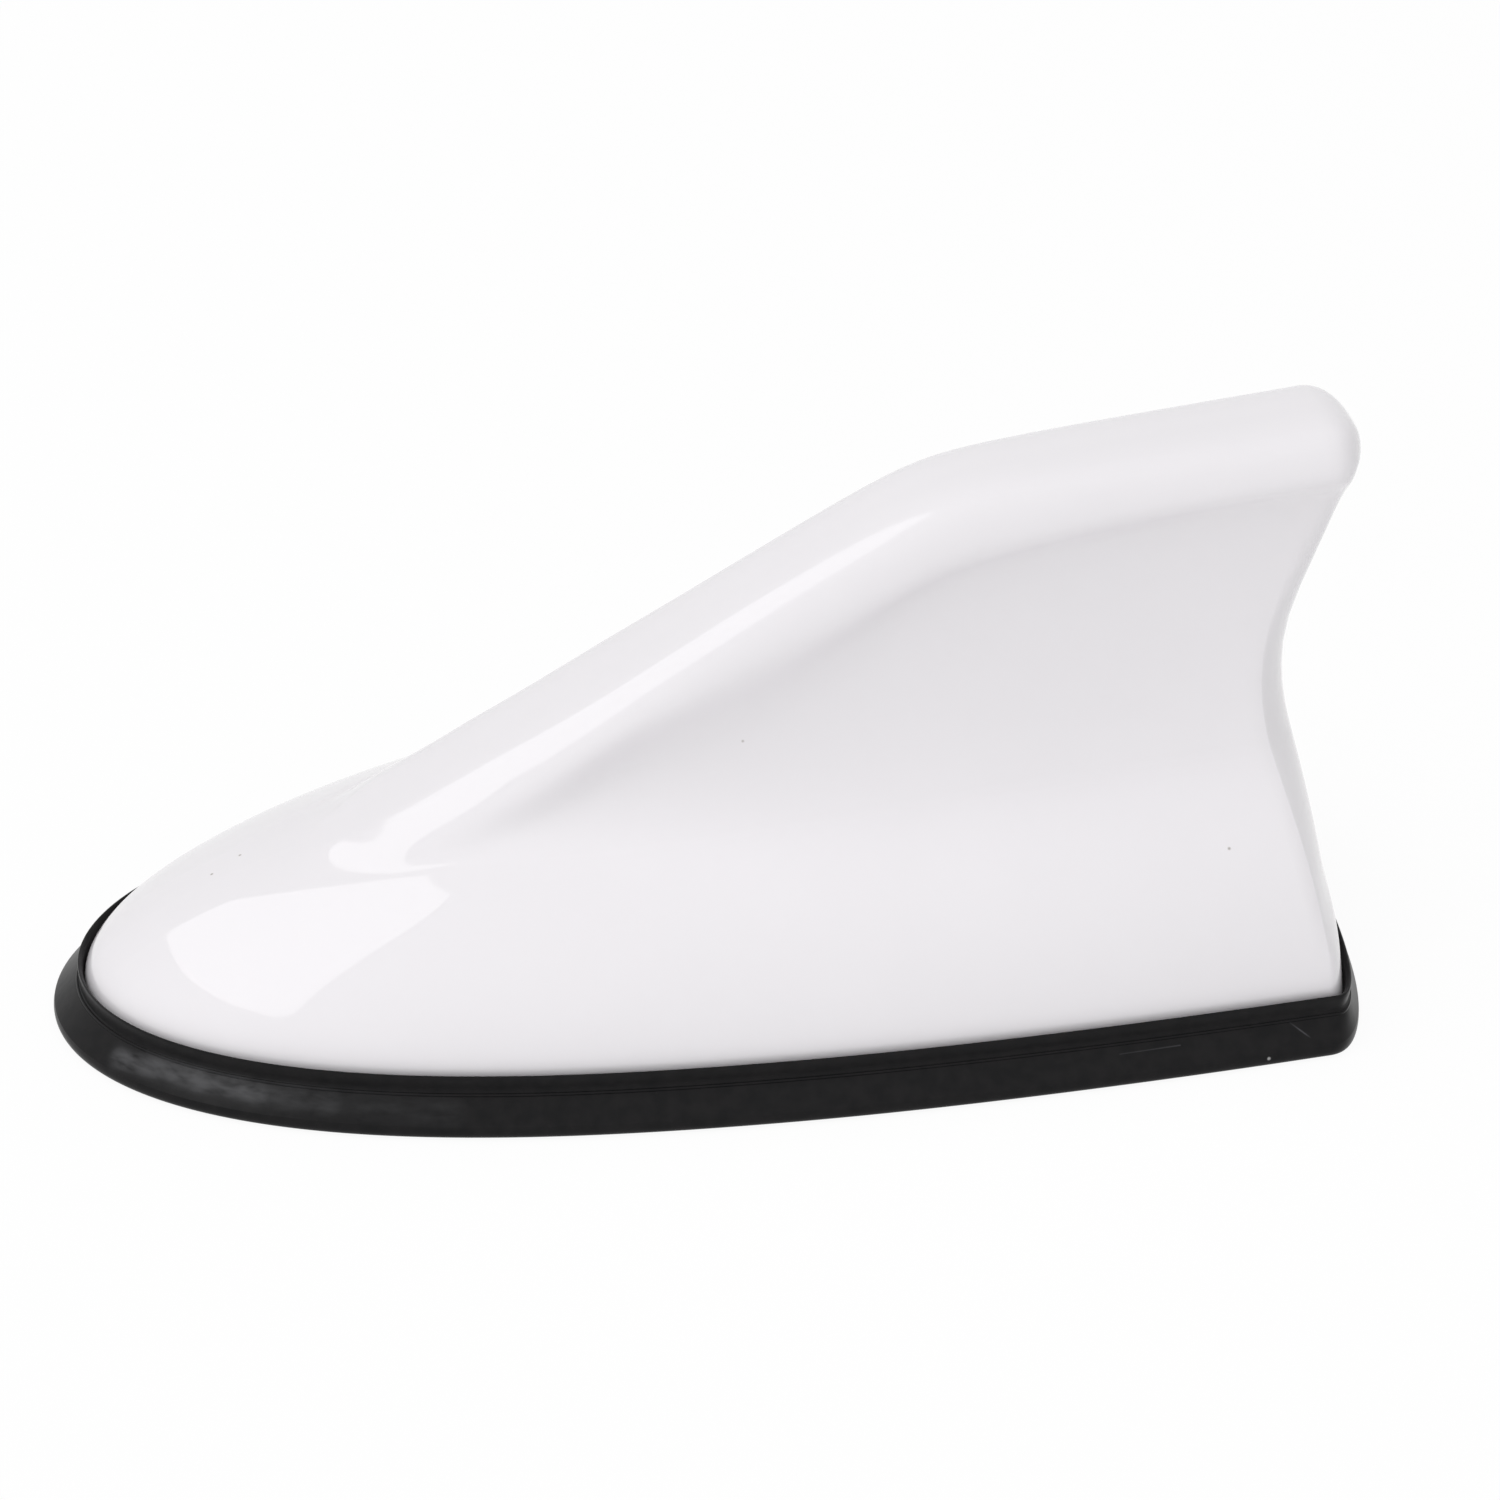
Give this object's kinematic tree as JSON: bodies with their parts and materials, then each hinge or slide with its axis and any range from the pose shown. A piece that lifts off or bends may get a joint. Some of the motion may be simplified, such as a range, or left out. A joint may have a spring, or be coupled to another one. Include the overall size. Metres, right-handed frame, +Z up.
{
  "type": "shark fin aerial",
  "caption": "Roof aerial for a car: a gloss white fin-shaped shell on a flared rubber gasket, with base plate, board and aerial winding inside.",
  "frame": {"origin": "on the roof plane under the middle of the gasket's foot", "axes": "+X along the length towards the tall rear edge, +Z up away from the roof"},
  "size_m": [0.167, 0.0814, 0.0724],
  "materials": {
    "shell_white": "high gloss",
    "gasket_rubber": "satin",
    "plate_black": "matt",
    "screw_steel": "zinc plated",
    "pad_foam": "closed-cell foam",
    "gland_rubber": "matt",
    "board_green": "satin lacquer",
    "chip_black": "matt",
    "can_tin": "tin plated",
    "coil_core": "matt",
    "capacitor_case": "satin",
    "socket_brass": "plated",
    "holder_plastic": "natural",
    "radiator_tin": "tin plated",
    "spring_bronze": "bright",
    "wire_copper": "enamelled copper",
    "cap_foam": "closed-cell foam"
  },
  "bodies": {
    "root": {"fin_shell": "shell_white", "gasket": "gasket_rubber", "base_plate": "plate_black", "base_screws": "screw_steel", "pad_front": "pad_foam", "pad_left": "pad_foam", "pad_right": "pad_foam", "pad_rear": "pad_foam", "cable_gland": "gland_rubber", "circuit_board": "board_green", "board_screws": "screw_steel", "amplifier_chip": "chip_black", "shield_can": "can_tin", "tuning_coil": "coil_core", "capacitors": "capacitor_case", "lead_socket": "socket_brass", "radiator_holder": "holder_plastic", "radiator": "radiator_tin", "contact_spring": "spring_bronze", "coil_former": "holder_plastic", "aerial_coil": "wire_copper", "foam_cap": "cap_foam"}
  },
  "joints": []
}
